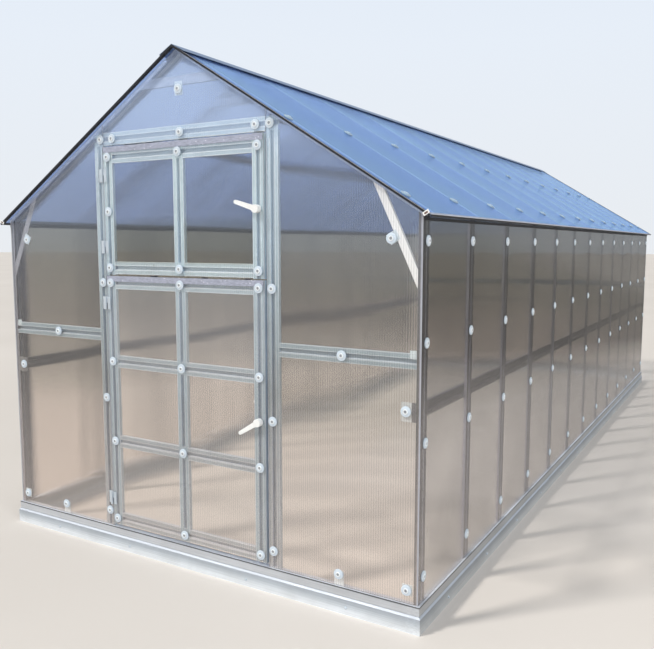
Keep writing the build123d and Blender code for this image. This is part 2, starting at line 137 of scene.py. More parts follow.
class Graph:
    """Short calls that build one node tree."""

    def __init__(self, tree):
        self.tree = tree
        tree.nodes.clear()

    def node(self, kind, inputs=None, **settings):
        made = self.tree.nodes.new(kind)
        for key, value in settings.items():
            setattr(made, key, value)
        for key, value in (inputs or {}).items():
            self.fill(made.inputs[key], value)
        return made

    def fill(self, socket, value):
        if isinstance(value, bpy.types.NodeSocket):
            self.tree.links.new(value, socket)
        else:
            socket.default_value = value

    def coords(self):
        return self.node("ShaderNodeTexCoord").outputs["Object"]

    def flat_normal(self):
        return self.node("ShaderNodeNewGeometry").outputs["True Normal"]

    def axes(self, vector):
        return self.node("ShaderNodeSeparateXYZ", {0: vector}).outputs

    def math(self, operation, a, b=0.0):
        return self.node("ShaderNodeMath", {0: a, 1: b}, operation=operation).outputs[0]

    def size(self, value):
        return self.math("ABSOLUTE", value)

    def vector(self, operation, a, b=(0, 0, 0)):
        return self.node("ShaderNodeVectorMath", {0: a, 1: b}, operation=operation).outputs[0]

    def scaled(self, vector, amount):
        made = self.node("ShaderNodeVectorMath", {0: vector, "Scale": amount}, operation="SCALE")
        return made.outputs[0]

    def dot(self, a, b):
        return self.node("ShaderNodeVectorMath", {0: a, 1: b}, operation="DOT_PRODUCT").outputs["Value"]

    def noise(self, where, scale, detail=2.0, roughness=0.5):
        inputs = {"Vector": where, "Scale": scale, "Detail": detail, "Roughness": roughness}
        return self.node("ShaderNodeTexNoise", inputs)

    def cloud(self, where, scale, detail=2.0, roughness=0.5):
        return self.noise(where, scale, detail, roughness).outputs[0]

    def drift(self, where, scale, detail, amount):
        colour = self.noise(where, scale, detail).outputs["Color"]
        return self.scaled(self.vector("SUBTRACT", colour, (0.5, 0.5, 0.5)), amount)

    def spread(self, value, low, high, out_low, out_high):
        inputs = {"Value": value, "From Min": low, "From Max": high, "To Min": out_low, "To Max": out_high}
        return self.node("ShaderNodeMapRange", inputs).outputs[0]

    def clouded(self, cloud, out_low, out_high):
        """Spread of a noise, most of which lies between 0.3 and 0.7."""
        return self.spread(cloud, 0.3, 0.7, out_low, out_high)

    def ramp(self, value, stops):
        made = self.node("ShaderNodeValToRGB", {0: value})
        band = made.color_ramp
        while len(band.elements) < len(stops):
            band.elements.new(0.5)
        for element, (place, colour) in zip(band.elements, stops):
            element.position = place
            element.color = (*colour, 1)
        return made.outputs[0]

    def tint(self, a, b, factor=1.0, blend="MULTIPLY"):
        made = self.node("ShaderNodeMix", data_type="RGBA", blend_type=blend)
        for socket, value in ((made.inputs[0], factor), (made.inputs[6], a), (made.inputs[7], b)):
            if isinstance(value, tuple):
                value = (*value, 1)
            self.fill(socket, value)
        return made.outputs[2]

    def choose(self, a, b, factor):
        return self.tint(a, b, factor, "MIX")

    def colour(self, red, green, blue):
        return self.node("ShaderNodeCombineColor", {0: red, 1: green, 2: blue}).outputs[0]

    def shaded(self, colour, level):
        return self.tint(colour, self.colour(level, level, level))

    def bump(self, height, strength, distance):
        inputs = {"Height": height, "Strength": strength, "Distance": distance}
        return self.node("ShaderNodeBump", inputs).outputs[0]

    def mixed(self, factor, first, second):
        return self.node("ShaderNodeMixShader", {0: factor, 1: first.outputs[0], 2: second.outputs[0]})

    def principled(self, inputs):
        self.finish(self.node("ShaderNodeBsdfPrincipled", inputs))

    def finish(self, shader):
        self.node("ShaderNodeOutputMaterial", {"Surface": shader.outputs[0]})


def new_material(name):
    material = bpy.data.materials.new(name)
    material.use_nodes = True
    return material, Graph(material.node_tree)


def grey(level):
    return (level, level, level)


# Studio: plain pale floor, pale background and soft lamps
SKY = [(0.0, (0.82, 0.84, 0.86)), (0.35, (0.80, 0.86, 0.94)), (1.0, (0.62, 0.74, 0.93))]
FLOOR = [(0.3, (0.70, 0.65, 0.60)), (0.7, (0.74, 0.69, 0.64))]
FLOOR_SIZE = 240
DAYLIGHT = (0.94, 0.97, 1.0)


def make_background():
    world = bpy.data.worlds.new("studio")
    scene.world = world
    world.use_nodes = True
    g = Graph(world.node_tree)
    path = g.node("ShaderNodeLightPath").outputs
    seen = g.math("MAXIMUM", path["Is Camera Ray"], path["Is Transmission Ray"])
    seen = g.math("MAXIMUM", seen, path["Is Glossy Ray"])
    height = g.axes(g.node("ShaderNodeTexCoord").outputs["Generated"])[2]
    sky = g.ramp(g.spread(height, -0.1, 0.9, 0, 1), SKY)
    shown = g.node("ShaderNodeBackground", {"Color": sky, "Strength": 1.0})
    light = g.node("ShaderNodeBackground", {"Color": (*DAYLIGHT, 1), "Strength": 0.58})
    g.node("ShaderNodeOutputWorld", {"Surface": g.mixed(seen, light, shown).outputs[0]})


def make_floor():
    material, g = new_material("floor")
    colour = g.ramp(g.cloud(g.coords(), 0.35, 3.0), FLOOR)
    g.principled({"Base Color": colour, "Roughness": 0.85, "Specular IOR Level": 0.15})
    bpy.ops.mesh.primitive_plane_add(size=FLOOR_SIZE)
    floor = bpy.context.active_object
    floor.name = "floor"
    floor.data.materials.append(material)
    floor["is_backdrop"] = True


def lamp(name, kind, power, colour, direction, place=(0, 0, 0)):
    data = bpy.data.lights.new(name, kind)
    data.energy = power
    data.color = colour
    made = bpy.data.objects.new(name, data)
    made.location = place
    made.rotation_euler = Vector(direction).to_track_quat("-Z", "Y").to_euler()
    scene.collection.objects.link(made)
    return data


make_background()
make_floor()
key = lamp("key", "SUN", 2.0, (1.0, 0.98, 0.94), (1.0, 1.25, -1.75))
key.angle = radians(9)
fill = lamp("fill", "AREA", 300, DAYLIGHT, (-9.0, 7.0, -5.0), (9.0, -7.0, 6.0))
fill.shape = "DISK"
fill.size = 5.0


# Height that the ramps of the sheets and the steel run over, in metres
RAMP_HEIGHT = 2.4

# Changes of a steel's colour by place or facing, most of them painted light and shade. Each gives a function
# that takes the colour and the metallic share so far and returns the new ones.
BARELY_METALLIC = 0.1
GROOVE_REACH = 0.022
LIGHT_SIDE = (-0.5, 0, 0.9)


def shaded_grooves_and_lit_faces(dark, gleam):
    """Painted shade in the grooves, by ambient occlusion, and a painted highlight, barely metallic, on faces
    that look up towards LIGHT_SIDE.
    """

    def apply(g, coords, colour, metallic):
        inputs = {"Distance": GROOVE_REACH}
        openness = g.node("ShaderNodeAmbientOcclusion", inputs, samples=6, only_local=True).outputs["AO"]
        bright = g.spread(g.dot(g.flat_normal(), LIGHT_SIDE), 0.2, 0.4, 0, 1)
        colour = g.choose(dark, colour, g.spread(openness, 0.30, 0.95, 0, 1))
        colour = g.choose(colour, gleam, bright)
        return colour, g.spread(bright, 0, 1, metallic, BARELY_METALLIC)

    return apply


def darker_towards_ground(stops):
    """Darker towards the ground, by a ramp over the height: painted shade."""

    def apply(g, coords, colour, metallic):
        height = g.math("DIVIDE", g.axes(coords)["Z"], RAMP_HEIGHT)
        return g.tint(colour, g.ramp(height, stops)), metallic

    return apply


def lit_front_faces(tone):
    """Faces that look to the front, painted in a lit tone and made barely metallic."""

    def apply(g, coords, colour, metallic):
        front = g.math("LESS_THAN", g.axes(g.flat_normal())["Y"], -0.3)
        return g.choose(colour, tone, front), g.spread(front, 0, 1, metallic, BARELY_METALLIC)

    return apply


def lit_end_faces(tone, lip=None, inner=None):
    """Faces of the first and last frames that look along the house, painted in a lit tone, with painted shade
    inside a lip of the posts.
    """

    def apply(g, coords, colour, metallic):
        places = g.axes(coords)
        outward = g.size(g.axes(g.flat_normal())["Y"])
        at_end = g.math("GREATER_THAN", g.size(places["Y"]), NEAR_AN_END)
        at_end = g.math("MULTIPLY", at_end, g.math("GREATER_THAN", outward, 0.5))
        shown = tone
        if lip:
            shown = g.choose(inner, tone, g.math("GREATER_THAN", g.size(places["X"]), POST_X - lip))
        return g.choose(colour, shown, at_end), metallic

    return apply


def beyond(limit, tone):
    """What lies farther than the limit from the middle of the house."""

    def apply(g, coords, colour, metallic):
        return g.choose(colour, tone, g.math("GREATER_THAN", g.size(g.axes(coords)["X"]), limit)), metallic

    return apply


def shaded_left_side(tone):
    """What lies in the left half of the house, painted in a darker tone as shade."""

    def apply(g, coords, colour, metallic):
        return g.choose(colour, tone, g.math("LESS_THAN", g.axes(coords)["X"], 0.0)), metallic

    return apply


# Galvanised steel with a crystal pattern in the zinc
def steel_material(name, colour, spread, rough, cell=0.011, metallic=0.9, colour_changes=()):
    material, g = new_material(name)
    coords = g.coords()
    bent = g.vector("ADD", coords, g.drift(coords, 40.0, 2.0, 0.006))
    crystals = g.node("ShaderNodeTexVoronoi", {"Vector": bent, "Scale": 1 / cell}, feature="F1").outputs
    shade = g.node("ShaderNodeSeparateColor", {0: crystals["Color"]}).outputs[0]
    cloud = g.cloud(coords, 7.0, 4.0, 0.6)
    level = g.spread(shade, 0, 1, 1 - spread, 1 + spread * 0.6)
    roughness = g.spread(shade, 0, 1, rough - 0.03, rough + 0.03)
    for finish in colour_changes:
        colour, metallic = finish(g, coords, colour, metallic)
    g.principled({
        "Base Color": g.shaded(colour, g.math("ADD", level, g.clouded(cloud, -0.06, 0.06))),
        "Metallic": metallic,
        "Roughness": g.math("ADD", roughness, g.clouded(cloud, -0.04, 0.05)),
        "Normal": g.bump(g.cloud(coords, 420.0), 0.12, 0.0006),
    })
    return material


# Folded base channel: rolling streaks along it, and painted light and shade over its height that follow its
# folds: pale lit bands, dark shade lines, and near black at the top except on faces that look up; faces to
# the sides are painted in shade and faces that look up are painted lit
RAMP_BASE_HEIGHT = 0.12
BASE_SIDE_SHADE = (0.74, 0.72, 0.69)
BASE_TOP_LIGHT = (0.72, 0.74, 0.78)
BASE_SIDE_WIDTH = 0.06
STREAKS_ALONG_X = (3.0, 60.0, 240.0)
STREAKS_ALONG_Y = (60.0, 3.0, 240.0)


def base_material(name):
    material, g = new_material(name)
    coords = g.coords()
    places = g.axes(coords)
    facing = g.axes(g.flat_normal())
    colour = g.ramp(g.math("DIVIDE", places["Z"], RAMP_BASE_HEIGHT), BASE_LIGHT_AND_SHADE)
    sideways = g.math("GREATER_THAN", g.size(facing["X"]), 0.9)
    colour = g.tint(colour, g.choose(grey(1.0), BASE_SIDE_SHADE, sideways))
    colour = g.choose(colour, BASE_TOP_LIGHT, g.math("GREATER_THAN", facing["Z"], 0.9))
    on_side = g.math("GREATER_THAN", g.size(places["X"]), BASE_END_X - BASE_SIDE_WIDTH)
    runs = g.vector("MULTIPLY", coords, g.choose(STREAKS_ALONG_X, STREAKS_ALONG_Y, on_side))
    streak = g.cloud(runs, 1.0, 3.0)
    cloud = g.cloud(coords, 9.0, 4.0, 0.6)
    level = g.math("MULTIPLY", g.clouded(streak, 0.90, 1.08), g.clouded(cloud, 0.94, 1.05))
    g.principled({
        "Base Color": g.shaded(colour, level),
        "Metallic": 0.5,
        "Roughness": g.clouded(cloud, 0.52, 0.64),
        "Normal": g.bump(streak, 0.15, 0.0008),
    })
    return material


# Twin-wall sheet: flutes that smear what is far behind it sideways
FLUTE = 0.0105
FINE_FLUTE = 0.0008
PLASTIC_IOR = 1.4
# Whole bays keep the share of a bay positive, and the rest starts each line a little before its frame
CREASE_SHIFT = 20.02
CLEAR_TINT = (0.99, 0.99, 0.98)
CUT_EDGE = (0.42, 0.43, 0.48, 1)


def sheet_material(
    name, across, ramps, shadow, crease=None, lines=0.80, slope=0.05, blur=0.0, rear_shade_shift=0.0, panes=None
):
    """The ramps, over the height, are the tint, the colour and share of the haze, and the mirror's colour;
    their changes over the height are painted shade and painted reflection of the surroundings.
    """
    material, g = new_material(name)
    coords = g.coords()
    places = g.axes(coords)
    along = places[across]
    height = g.math("DIVIDE", places["Z"], RAMP_HEIGHT)
    # Painted shade along the wall: towards the back the ramps are read higher, by up to this shift, so the
    # dark band comes lower on the far bays
    if rear_shade_shift:
        height = g.math("ADD", height, g.spread(along, FRAMES[0], FRAMES[-1], 0.0, rear_shade_shift))
    tint, milk, veil, gloss = (g.ramp(height, stops) for stops in ramps)

    # Flutes: the normal leans from side to side, and a thin line runs along each web
    waver = g.math("MULTIPLY", g.cloud(coords, 1.7), 0.8)
    phase = g.math("ADD", g.math("MULTIPLY", along, 2 * pi / FLUTE), waver)
    strength = g.clouded(g.cloud(coords, 9.0), 0.85 * slope, 1.1 * slope)
    lean = g.math("MULTIPLY", g.math("SINE", phase), strength)
    axis = (1, 0, 0) if across == "X" else (0, 1, 0)
    spaces = {"vector_type": "VECTOR", "convert_from": "OBJECT", "convert_to": "WORLD"}
    sideways = g.node("ShaderNodeVectorTransform", {0: axis}, **spaces).outputs[0]
    plain = g.node("ShaderNodeNewGeometry").outputs["Normal"]
    normal = g.vector("ADD", plain, g.scaled(sideways, lean))
    normal = g.vector("NORMALIZE", g.vector("ADD", normal, g.drift(coords, 3.2, 1.0, 0.024)))
    web = g.math("POWER", g.spread(g.math("COSINE", phase), -1, 1, 0, 1), 7.0)

    # Over the leaf's frames, outside the panes, a clear tint stands in place of the tint with its painted
    # shade
    if panes:
        inner, outer = panes
        aside = g.size(places["X"])
        inside = g.math("MULTIPLY", g.math("GREATER_THAN", aside, inner), g.math("LESS_THAN", aside, outer))
        tint = g.choose(CLEAR_TINT, tint, inside)
    # Painted highlight: a pale line over each frame adds to the haze share, and further into each bay the
    # mirror's colour turns bluer as painted reflection
    if crease:
        bay = g.math("FRACT", g.math("ADD", g.math("DIVIDE", along, BAY), CREASE_SHIFT))
        cloud = g.cloud(coords, 1.3, 3.0)
        bay = g.math("ADD", bay, g.clouded(cloud, -0.004, 0.004))
        veil = g.tint(veil, g.ramp(bay, crease), 1.0, "ADD")
        soft = g.spread(g.math("ADD", bay, g.clouded(cloud, -0.12, 0.12)), 0.0, 0.6, 1.0, 0.86)
        gloss = g.tint(gloss, g.colour(soft, soft, 1.0))
    bent = normal
    if blur:
        fine = g.math("MULTIPLY", g.math("SINE", g.math("MULTIPLY", along, 2 * pi / FINE_FLUTE)), blur)
        bent = g.vector("NORMALIZE", g.vector("ADD", normal, g.scaled(sideways, fine)))

    # What comes through, the milky share of the plastic, and what it mirrors
    through = g.shaded(tint, g.spread(web, 0, 1, 1.0, lines))
    refraction = {"Color": through, "Roughness": 0.05, "IOR": PLASTIC_IOR, "Normal": bent}
    bending = g.node("ShaderNodeBsdfRefraction", refraction)
    milky = g.node("ShaderNodeBsdfDiffuse", {"Color": milk, "Normal": normal})
    shine = g.node("ShaderNodeBsdfGlossy", {"Color": gloss, "Roughness": 0.06, "Normal": normal})
    fresnel = g.node("ShaderNodeFresnel", {"IOR": PLASTIC_IOR, "Normal": normal}).outputs[0]
    glass = g.mixed(fresnel, g.mixed(veil, bending, milky), shine)

    # Light passes straight through on its way to other surfaces, and the cut edges are plain
    clear = g.node("ShaderNodeBsdfTransparent", {"Color": (*shadow, 1)})
    path = g.node("ShaderNodeLightPath").outputs
    passing = g.math("MAXIMUM", path["Is Shadow Ray"], path["Is Diffuse Ray"])
    cut = g.math("GREATER_THAN", g.size(g.dot(g.flat_normal(), sideways)), 0.9)
    rim = g.node("ShaderNodeBsdfDiffuse", {"Color": CUT_EDGE})
    g.finish(g.mixed(cut, g.mixed(passing, glass, clear), rim))
    return material


# Moulded plastic with a faint grain
def plastic_material(name, colour, rough, glow=0.0, clear=0.0):
    material, g = new_material(name)
    coords = g.coords()
    g.principled({
        "Base Color": g.shaded(colour, g.clouded(g.cloud(coords, 30.0, 3.0), 0.95, 1.03)),
        "Roughness": rough,
        "Normal": g.bump(g.cloud(coords, 900.0), 0.1, 0.0004),
        "Subsurface Weight": glow,
        "Transmission Weight": clear,
        "Subsurface Radius": (0.004, 0.004, 0.004),
    })
    return material


# Edge trim: pale lip on top of a black strip, and a grey top on the eave trims. The pale lip is a painted
# highlight, the black is dark trim with painted shade under the roof's edge, and the grey top is painted
# lighter because it looks up.
TRIM_BLACK_SHADE = (0.022, 0.023, 0.028)
TRIM_LIP_HIGHLIGHT = (0.56, 0.55, 0.56)
TRIM_LIT_TOP = (0.34, 0.37, 0.46)
EAVE_LIP = 0.0035
VERGE_LIP = 0.0055


def trim_material(name):
    material, g = new_material(name)
    coords = g.coords()
    spaces = {"vector_type": "NORMAL", "convert_from": "WORLD", "convert_to": "OBJECT"}
    up = g.node("ShaderNodeVectorTransform", {0: g.flat_normal()}, **spaces).outputs[0]
    upward = g.math("GREATER_THAN", g.axes(up)["Z"], 0.6)
    places = g.axes(coords)
    aside, away = g.size(places["X"]), g.size(places["Y"])
    past_eave = g.math("SUBTRACT", aside, EAVE_HIGH.x - EAVE_LIP)
    past_verge = g.math("SUBTRACT", away, -VERGE_Y - VERGE_LIP)
    outer = g.math("GREATER_THAN", g.math("MAXIMUM", past_eave, past_verge), 0.0)
    lip = g.math("MULTIPLY", upward, outer)
    on_eave = g.math("GREATER_THAN", aside, EAVE_LOW.x - 0.0005)
    on_eave = g.math("MULTIPLY", on_eave, g.math("LESS_THAN", away, EAVE_HIGH.y - 0.001))
    top = g.math("MULTIPLY", upward, g.math("SUBTRACT", on_eave, lip))
    colour = g.choose(TRIM_BLACK_SHADE, TRIM_LIP_HIGHLIGHT, lip)
    colour = g.choose(colour, TRIM_LIT_TOP, g.math("MAXIMUM", top, 0.0))
    cloud = g.cloud(coords, 18.0, 3.0)
    g.principled({
        "Base Color": g.shaded(colour, g.clouded(cloud, 0.85, 1.1)),
        "Roughness": g.clouded(cloud, 0.5, 0.65),
        "Specular IOR Level": 0.2,
    })
    return material


# Foil tape over the cut upper edges of the leaf sheets, with creases in its tone and bump, and scattered
# white flecks that are painted glints
def tape_material(name):
    material, g = new_material(name)
    coords = g.coords()
    crease = g.cloud(g.vector("MULTIPLY", coords, (60.0, 60.0, 220.0)), 1.0, 4.0, 0.7)
    spot = g.node("ShaderNodeTexVoronoi", {"Vector": coords, "Scale": 80.0}, feature="F1").outputs
    chance = g.node("ShaderNodeSeparateColor", {0: spot["Color"]}).outputs[0]
    near = g.math("LESS_THAN", spot["Distance"], 0.16)
    painted_glint = g.math("MULTIPLY", near, g.math("GREATER_THAN", chance, 0.55))
    colour = g.ramp(crease, [(0.35, (0.30, 0.32, 0.40)), (0.65, (0.48, 0.50, 0.61))])
    g.principled({
        "Base Color": g.choose(colour, (0.97, 0.97, 1.0), painted_glint),
        "Metallic": 0.25,
        "Roughness": 0.4,
        "Normal": g.bump(crease, 0.3, 0.0010),
    })
    return material


# Ramps over the height, in shares of RAMP_HEIGHT. A tint is the square root of what two faces let through.
# Over the height the tints, the haze and the mirror's colours paint in shade and reflections: a darker band
# at mid height, pale warm ground light low down and pale sky high up. The left wall is a darker, shaded copy
# of the right, and the roof pales towards the ridge as painted sky light.
RIGHT_TINT_AND_SHADE = [
    (0.04, (1.00, 0.97, 0.95)),
    (0.27, (1.00, 0.97, 0.95)),
    (0.36, (0.87, 0.85, 0.83)),
    (0.47, (0.75, 0.73, 0.71)),
    (0.58, (0.71, 0.70, 0.66)),
    (0.68, (0.72, 0.72, 0.70)),
]
LEFT_TINT_AND_SHADE = [
    (0.04, (1.00, 0.97, 0.95)),
    (0.27, (0.97, 0.94, 0.92)),
    (0.36, (0.76, 0.74, 0.72)),
    (0.47, (0.60, 0.58, 0.56)),
    (0.58, (0.55, 0.54, 0.50)),
    (0.68, (0.54, 0.54, 0.51)),
]
SIDE_HAZE_AND_SHADE = [(0.04, (0.80, 0.72, 0.66)), (0.36, (0.50, 0.48, 0.48)), (0.68, (0.46, 0.47, 0.48))]
SIDE_SHARE = [(0.04, grey(0.12)), (0.36, grey(0.07)), (0.46, grey(0.04)), (0.68, grey(0.045))]
SIDE_MIRROR = [
    (0.04, grey(1.0)),
    (0.34, grey(0.85)),
    (0.45, grey(0.32)),
    (0.62, grey(0.32)),
    (0.68, grey(0.46)),
]

END_TINT_AND_SHADE = [
    (0.04, (1.00, 0.95, 0.92)),
    (0.27, (0.98, 0.94, 0.91)),
    (0.36, (0.89, 0.87, 0.84)),
    (0.46, (0.94, 0.93, 0.91)),
    (0.80, (0.97, 0.97, 0.98)),
    (0.90, (0.98, 0.99, 1.00)),
]
LEAF_TINT_AND_SHADE = [
    (0.04, (1.00, 0.955, 0.925)),
    (0.40, (0.99, 0.97, 0.95)),
    (0.585, (0.99, 0.98, 0.96)),
    (0.589, (0.80, 0.79, 0.74)),
    (0.655, (0.82, 0.81, 0.77)),
    (0.675, (0.94, 0.94, 0.95)),
]
END_HAZE_AND_SKY = [
    (0.04, (0.74, 0.68, 0.63)),
    (0.36, (0.60, 0.58, 0.56)),
    (0.50, (0.52, 0.53, 0.56)),
    (0.80, (0.54, 0.68, 0.95)),
]
END_SHARE = [
    (0.04, grey(0.13)),
    (0.36, grey(0.07)),
    (0.46, grey(0.05)),
    (0.78, grey(0.06)),
    (0.84, grey(0.24)),
]
LEAF_SHARE = [
    (0.04, grey(0.13)),
    (0.36, grey(0.08)),
    (0.45, grey(0.14)),
    (0.54, grey(0.12)),
    (0.57, grey(0.05)),
]
END_MIRROR = [(0.04, grey(0.90)), (0.36, grey(0.80))]

ROOF_TINT_AND_SKYLIGHT = [(0.64, (0.62, 0.68, 0.80)), (0.82, (0.64, 0.70, 0.82)), (0.88, (0.72, 0.79, 0.92))]
ROOF_HAZE = [(0.64, (0.32, 0.50, 0.96)), (1.0, (0.32, 0.49, 0.94))]
ROOF_SHARE = [(0.64, grey(0.20)), (1.0, grey(0.20))]
ROOF_MIRROR = [(0.64, (0.50, 0.74, 1.0)), (1.0, (0.56, 0.78, 1.0))]

# Painted shade of the steel: darker towards the ground, by a ramp over the height
STEEL_LOW_SHADE = [
    (0.05, (0.65, 0.65, 0.71)),
    (0.30, (0.61, 0.63, 0.70)),
    (0.48, (0.70, 0.74, 0.82)),
    (0.60, (0.90, 0.94, 1.00)),
    (0.80, (1.00, 1.00, 1.00)),
]

# Ramp over one bay of the roof: a pale line over each frame, a painted highlight along the sheet's crease
ROOF_CREASE_HIGHLIGHT = [
    (0.000, grey(0.42)),
    (0.032, grey(0.42)),
    (0.048, grey(0.0)),
    (0.62, grey(0.0)),
    (0.70, grey(0.05)),
    (0.99, grey(0.02)),
]

# Ramp over the height of the base, in shares of RAMP_BASE_HEIGHT: painted light and shade of its folds
BASE_LIGHT_AND_SHADE = [
    (0.00, (0.84, 0.88, 0.92)),
    (0.16, (0.78, 0.82, 0.86)),
    (0.42, (0.50, 0.55, 0.60)),
    (0.51, (0.46, 0.50, 0.56)),
    (0.54, (0.50, 0.53, 0.57)),
    (0.60, (0.48, 0.51, 0.55)),
    (0.64, (0.62, 0.64, 0.67)),
    (0.86, (0.58, 0.60, 0.63)),
    (0.885, (0.10, 0.11, 0.12)),
]

# Where the painted light and shade of the steel change, and where the panes of the leaves lie, in metres: the
# lip's width, and distances from the middle of the house
POST_LIP = 0.0045
BRACKET_OUTER_X = 1.121
PANES = (HALF_PROFILE, LEAF_EDGE_X - PROFILE)

materials = {}


def steel(name, *colour_changes, **settings):
    materials[name] = steel_material(name, colour_changes=colour_changes, **settings)


def plastic(name, *settings):
    materials[name] = plastic_material(name, *settings)


def sheet(name, *settings, **more):
    materials[name] = sheet_material(name, *settings, **more)


# Painted shade in the grooves and towards the ground, and painted highlights on faces that look towards the
# light
steel(
    "galvanised_steel",
    shaded_grooves_and_lit_faces((0.36, 0.42, 0.49), (0.96, 1.0, 1.0)),
    darker_towards_ground(STEEL_LOW_SHADE),
    colour=(0.68, 0.80, 0.83), spread=0.05, rough=0.34, cell=0.008, metallic=0.62,
)
# Ribs: whiter and barely metallic, a painted highlight along the profiles' edges and groove, and darker
# towards the ground as painted shade
steel(
    "rib_steel_highlight",
    darker_towards_ground(STEEL_LOW_SHADE),
    colour=(0.95, 1.0, 1.0), spread=0.03, rough=0.36, cell=0.008, metallic=0.10,
)
# Rafters, collar ties and purlins: a darker, shaded copy of the steel, with painted light on end-frame faces
# that look along the house
steel(
    "inner_steel_shaded",
    lit_end_faces((0.46, 0.52, 0.66)),
    colour=(0.30, 0.34, 0.42), spread=0.12, rough=0.42, metallic=0.60,
)
# Posts and rail of the right wall: a dark, shaded copy of the steel, with painted shade in the grooves,
# painted light on faces that look to the front or along the house, and painted shade inside the posts' lip
steel(
    "side_steel_shaded",
    shaded_grooves_and_lit_faces((0.06, 0.06, 0.08), (0.16, 0.16, 0.20)),
    lit_front_faces((0.36, 0.36, 0.45)),
    lit_end_faces((0.44, 0.45, 0.53), POST_LIP, (0.15, 0.15, 0.16)),
    colour=(0.10, 0.10, 0.13), spread=0.12, rough=0.36, metallic=0.55,
)
# Posts and rail of the left wall: a dark, shaded copy of the steel, with painted light on end faces that look
# along the house
steel(
    "left_steel_shaded",
    lit_end_faces((0.40, 0.41, 0.48)),
    colour=(0.12, 0.12, 0.14), spread=0.12, rough=0.36, metallic=0.55,
)
# Knee braces: a white, non-metallic lit copy of the steel, a painted highlight, with painted shade on the
# left half
steel(
    "brace_steel_lit",
    shaded_left_side((0.34, 0.35, 0.40)),
    colour=(1.0, 1.0, 1.0), spread=0.03, rough=0.40, metallic=0.0,
)
# Rail brackets: darker beyond BRACKET_OUTER_X, and painted shade on the left half
steel(
    "bracket_steel",
    beyond(BRACKET_OUTER_X, (0.20, 0.20, 0.22)),
    shaded_left_side((0.26, 0.26, 0.28)),
    colour=(0.80, 0.84, 0.88), spread=0.05, rough=0.40, metallic=0.2,
)
steel("tab_steel", colour=(0.76, 0.86, 0.92), spread=0.05, rough=0.40, metallic=0.10)
steel("cap_metal", colour=(0.20, 0.26, 0.36), spread=0.1, rough=0.45)
steel("hinge_metal", colour=(0.60, 0.66, 0.72), spread=0.05, rough=0.40, metallic=0.35)
steel("screw_steel", colour=(0.40, 0.42, 0.45), spread=0.05, rough=0.35)

side_flutes_and_shade = {"slope": 0.03, "blur": 0.07, "rear_shade_shift": 0.24}
end_flutes = {"lines": 0.88, "slope": 0.02, "blur": 0.09}
side_shadow, end_shadow, roof_shadow = (0.99, 0.98, 0.97), (0.99, 0.99, 0.99), (0.94, 0.95, 0.97)
right_ramps = RIGHT_TINT_AND_SHADE, SIDE_HAZE_AND_SHADE, SIDE_SHARE, SIDE_MIRROR
left_ramps = LEFT_TINT_AND_SHADE, SIDE_HAZE_AND_SHADE, SIDE_SHARE, SIDE_MIRROR
end_ramps = END_TINT_AND_SHADE, END_HAZE_AND_SKY, END_SHARE, END_MIRROR
leaf_ramps = LEAF_TINT_AND_SHADE, END_HAZE_AND_SKY, LEAF_SHARE, END_MIRROR
roof_ramps = ROOF_TINT_AND_SKYLIGHT, ROOF_HAZE, ROOF_SHARE, ROOF_MIRROR
sheet("polycarbonate", "Y", right_ramps, side_shadow, **side_flutes_and_shade)
sheet("polycarbonate_left_shaded", "Y", left_ramps, side_shadow, **side_flutes_and_shade)
sheet("polycarbonate_ends", "X", end_ramps, end_shadow, **end_flutes)
sheet("polycarbonate_leaf", "X", leaf_ramps, end_shadow, panes=PANES, **end_flutes)
sheet("roof_polycarbonate", "Y", roof_ramps, roof_shadow, ROOF_CREASE_HIGHLIGHT)

plastic("white_plastic", (0.92, 0.92, 0.91), 0.35, 0.1)
plastic("washer_plastic", (0.74, 0.83, 0.93), 0.20, 0.25, 0.15)
plastic("boss_plastic", (0.90, 0.94, 0.97), 0.18, 0.2)
# Roof washers: a bluer copy of the washer plastic, a painted reflection of the sky
plastic("roof_washer_plastic", (0.42, 0.57, 0.68), 0.30, 0.1, 0.3)
plastic("roof_boss_plastic", (0.50, 0.65, 0.80), 0.25, 0.1)
plastic("clip_shade", (0.16, 0.09, 0.07), 0.6)
# Black for the strips under the eaves: painted shadow
plastic("shadow_strip_black", (0.022, 0.023, 0.026), 0.7)

materials["base_metal"] = base_material("base_metal")
materials["edge_trim"] = trim_material("edge_trim")
materials["foil_tape"] = tape_material("foil_tape")


# Upright sheets are drawn a little thinner, so that no face of theirs lies in a steel face
def thin(piece, node, share=5 / 6):
    low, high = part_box(node)
    axis = 0 if high.x - low.x < high.y - low.y else 1
    scale, shift = [1, 1, 1], [0, 0, 0]
    scale[axis] = share
    shift[axis] = (1 - share) * (low[axis] + high[axis]) / 2
    group = bpy.data.node_groups.new("thin_" + node, "GeometryNodeTree")
    group.interface.new_socket("Geometry", in_out="INPUT", socket_type="NodeSocketGeometry")
    group.interface.new_socket("Geometry", in_out="OUTPUT", socket_type="NodeSocketGeometry")
    g = Graph(group)
    place = g.node("GeometryNodeInputPosition").outputs[0]
    place = g.vector("ADD", g.vector("MULTIPLY", place, scale), shift)
    mesh = g.node("NodeGroupInput").outputs[0]
    moved = g.node("GeometryNodeSetPosition", {"Geometry": mesh, "Position": place}).outputs[0]
    g.node("NodeGroupOutput", {0: moved})
    piece.modifiers.new("thin", "NODES").node_group = group


